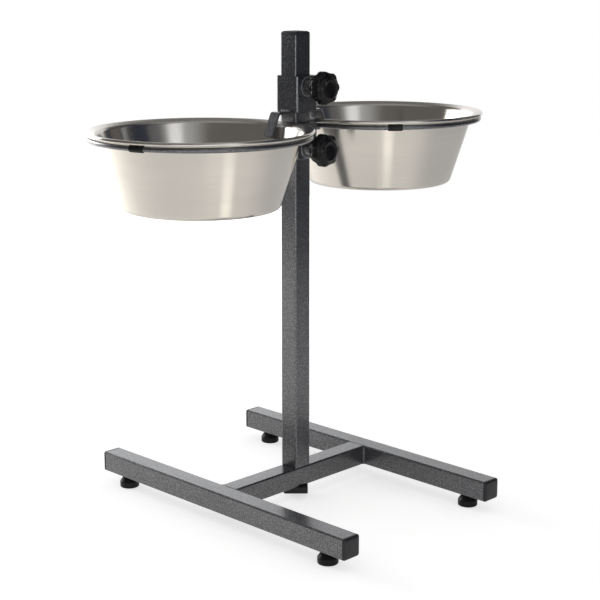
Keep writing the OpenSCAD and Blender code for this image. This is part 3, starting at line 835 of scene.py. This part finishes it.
# Clamp screws: zinc-plated threaded rod, moulded into the knobs, that runs through the
# bosses to press on the post.
thread, gin, gout = geometry_group(
    "screw_thread", [("Core Radius", "Float"), ("Thread Radius", "Float"), ("Pitch", "Float"),
                     ("Length", "Float"), ("Material", "Material")])
core = gin.outputs["Core Radius"]
length = gin.outputs["Length"]
helix = {"Resolution": 40, "Rotations": maths(thread, "DIVIDE", length, gin.outputs["Pitch"]),
         "Start Radius": core, "End Radius": core, "Height": length}
helix = add(thread, "GeometryNodeCurveSpiral", helix)
crest = {"Resolution": 6, "Radius": gin.outputs["Thread Radius"]}
crest = add(thread, "GeometryNodeCurvePrimitiveCircle", crest)
ridge = {"Curve": helix.outputs[0], "Profile Curve": crest.outputs["Curve"], "Fill Caps": True}
ridge = add(thread, "GeometryNodeCurveToMesh", ridge)
rod = add(thread, "GeometryNodeMeshCylinder", {"Vertices": 40, "Radius": core, "Depth": length})
raise_by = add(thread, "ShaderNodeCombineXYZ", {2: maths(thread, "MULTIPLY", length, 0.5)})
rod = {"Geometry": rod.outputs["Mesh"], "Translation": raise_by.outputs[0]}
rod = add(thread, "GeometryNodeTransform", rod)
joined = add(thread, "GeometryNodeJoinGeometry", {0: ridge.outputs[0]})
thread.links.new(rod.outputs[0], joined.inputs[0])
solid = add(thread, "GeometryNodeRealizeInstances", {"Geometry": joined.outputs[0]})
plated = {"Geometry": solid.outputs[0], "Material": gin.outputs["Material"]}
plated = add(thread, "GeometryNodeSetMaterial", plated)
thread.links.new(plated.outputs[0], gout.inputs["Geometry"])
for body in ("carrier", "lock"):
    low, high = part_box(body + "_screw")
    bm = bmesh.new()
    bm.verts.new((0, 0, 0))
    values = {"Core Radius": 0.0034, "Thread Radius": 0.0006, "Pitch": 0.00125,
              "Length": high.y - low.y, "Material": zinc}
    screw = grown(body + "_screw_rod", thread, bm, values)
    end = Matrix.Translation((0, high.y, (low.z + high.z) / 2))
    screw.data.transform(end @ Matrix.Rotation(math.radians(90), 4, "X"))
    screw.data.shade_smooth()
    screw.data.set_sharp_from_angle(angle=math.radians(40))
    fit(screw, zinc, "zinc_steel", body + "_screw", body + "_screw")

# Hand knobs: moulded black plastic, with a smooth collar behind, seven rounded lobes to
# grip and a shallow dished face.
knob_core = 0.0178
lobe_count = 7
lobe_steps = 28
lobe_radius = 0.006
lobe_reach = 0.0135


def lobed(angle):
    """Radius of the lobed outline at an angle: the lobes over a round core."""
    step = 2 * math.pi / lobe_count
    off = (angle + step / 2) % step - step / 2
    under = lobe_radius ** 2 - (lobe_reach * math.sin(off)) ** 2
    top = lobe_reach * math.cos(off) + math.sqrt(under) if under > 0 else 0
    return max(knob_core, top)


knob_shades = {"Color": (0.006, 0.006, 0.0075, 1), "Dust": (0.012, 0.012, 0.014, 1), "Grain": 1500.0,
               "Low": 0.17, "High": 0.28}
knob_plastic = finish("knob_plastic", moulded, knob_shades, metallic=0, depth=0.1, Specular_IOR_Level=0.28)
knob_bore = 0.004
collar = 0.016
back = [(knob_bore, 0.0136), (knob_bore, 0), (collar - 0.0008, 0), (collar - 0.0002, 0.0003),
        (collar, 0.001), (collar, 0.0034)]
head = [(0.0022, 0.004), (0.0012, 0.0043), (0.0004, 0.0051), (0, 0.0064), (0, 0.0136), (0.0004, 0.0151),
        (0.0013, 0.0163), (0.0026, 0.0169)]
face = [(0.0143, 0.0172), (0.0128, 0.0185), (0.012, 0.0194), (0.0113, 0.0198), (0.0104, 0.0198),
        (0.0099, 0.0195), (0.0095, 0.0191), (0.005, 0.0189)]
for body in ("carrier", "lock"):
    low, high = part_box(body + "_knob")
    around = lobe_count * lobe_steps
    turns = [2 * math.pi * i / around for i in range(around)]
    outlines = [([radius] * around, along) for radius, along in back]
    outlines += [([lobed(a) - inset for a in turns], along) for inset, along in head]
    outlines += [([radius] * around, along) for radius, along in face]
    bm = bmesh.new()
    rings = []
    for radii, along in outlines:
        ring = [(r * math.cos(a), r * math.sin(a), along) for r, a in zip(radii, turns)]
        rings.append([bm.verts.new(point) for point in ring])
    join_loops(bm, rings)
    bm.faces.new(rings[-1])
    bm.faces.new(list(reversed(rings[0])))
    centre = Matrix.Translation((0, high.y, (low.z + high.z) / 2))
    bm.transform(centre @ Matrix.Rotation(math.radians(90), 4, "X"))
    knob = mesh_object(body + "_hand_knob", bm, sharp=50)
    fit(knob, knob_plastic, "knob_plastic", body + "_knob", body + "_knob")


# Bowls: pressed and polished stainless sheet with sloping walls, a rounded bottom corner
# and a flared rim rolled into a bead, hung in the rings by the bead.
grain_stretch = 0.004


def spun_place(axis_x):
    """A way to make coordinates that run round a bowl's own axis."""
    def place(tree, where):
        own = add(tree, "ShaderNodeMapping", {"Vector": where, "Location": (-axis_x, 0, 0)})
        x, y, z = add(tree, "ShaderNodeSeparateXYZ", {0: own.outputs[0]}).outputs
        square = maths(tree, "MULTIPLY_ADD", x, x, maths(tree, "MULTIPLY", y, y))
        turn = maths(tree, "MULTIPLY", maths(tree, "ARCTAN2", y, x), grain_stretch)
        own = {0: maths(tree, "SQRT", square), 1: turn, 2: z}
        return add(tree, "ShaderNodeCombineXYZ", own).outputs[0]
    return place


steel_shades = {"Scale": 650.0, "Color": (0.785, 0.753, 0.709, 1), "Dull": (0.752, 0.72, 0.678, 1),
                "Low": 0.18, "High": 0.22}
brushed = {"Anisotropic": 0.9, "Anisotropic_Rotation": 0.25}
sheet = 0.0008
bead = 0.0022
bead_start = 42
corner_steps, rim_steps, bead_steps = 12, 10, 40
bowl_corner = 0.007
wall_top = 0.1167
wall_foot = 0.0885
rim_rise = math.radians(18)
rim_bend = 0.005
step_reach = 0.0695
step_rise = 0.0012
bottom = [(0, step_rise), (step_reach - 0.0035, step_rise), (step_reach - 0.002, step_rise - 0.0001),
          (step_reach, 0.0003), (step_reach + 0.0015, 0)]
for side in ("left", "right"):
    low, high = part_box(side + "_bowl")
    axis_x = (low.x + high.x) / 2
    depth = high.z - low.z
    slope = (wall_top - wall_foot) / (depth - sheet)
    lean = math.atan(slope)
    corner = (wall_foot - bowl_corner * math.tan(math.pi / 4 - lean / 2), bowl_corner)
    bead_middle = Vector(((high.x - low.x) / 2 - bead, depth - bead))
    rim_up = Vector((-math.sin(rim_rise), math.cos(rim_rise)))
    rim_end = bead_middle + rim_up * (bead - sheet)
    run = 1 / math.tan(rim_rise)
    meet = (wall_foot - rim_end.x + rim_end.y * run) / (run - slope)
    wall_out = Vector((math.cos(lean), -math.sin(lean)))
    bend = Vector((wall_foot + slope * meet, meet))
    bend += (wall_out - rim_up) * (rim_bend / (1 - wall_out.dot(rim_up)))
    wall_way = 180 - math.degrees(lean)
    rim_way = 90 + math.degrees(rim_rise)
    outside = bottom + arc(corner, bowl_corner, -90, wall_way - 180, corner_steps)
    outside += arc(bend, rim_bend, wall_way, rim_way, rim_steps)
    outside += arc(bead_middle, bead, rim_way + bead_start, rim_way + 360, bead_steps)
    inside = arc(bend, rim_bend + sheet, rim_way, wall_way, rim_steps)
    inside += arc(corner, bowl_corner - sheet, wall_way - 180, -90, corner_steps)
    inside += [(radius, along + sheet) for radius, along in reversed(bottom)]
    bm = bmesh.new()
    turned(bm, outside + inside, (axis_x, 0, low.z), steps=256)
    steel = finish(side + "_bowl_steel", scratched, steel_shades, metallic=1, depth=0.02,
                   place=spun_place(axis_x), **brushed)
    bowl = mesh_object(side + "_bowl_sheet", bm, sharp=60)
    fit(bowl, steel, "bowl_steel", side + "_bowl", side + "_bowl")
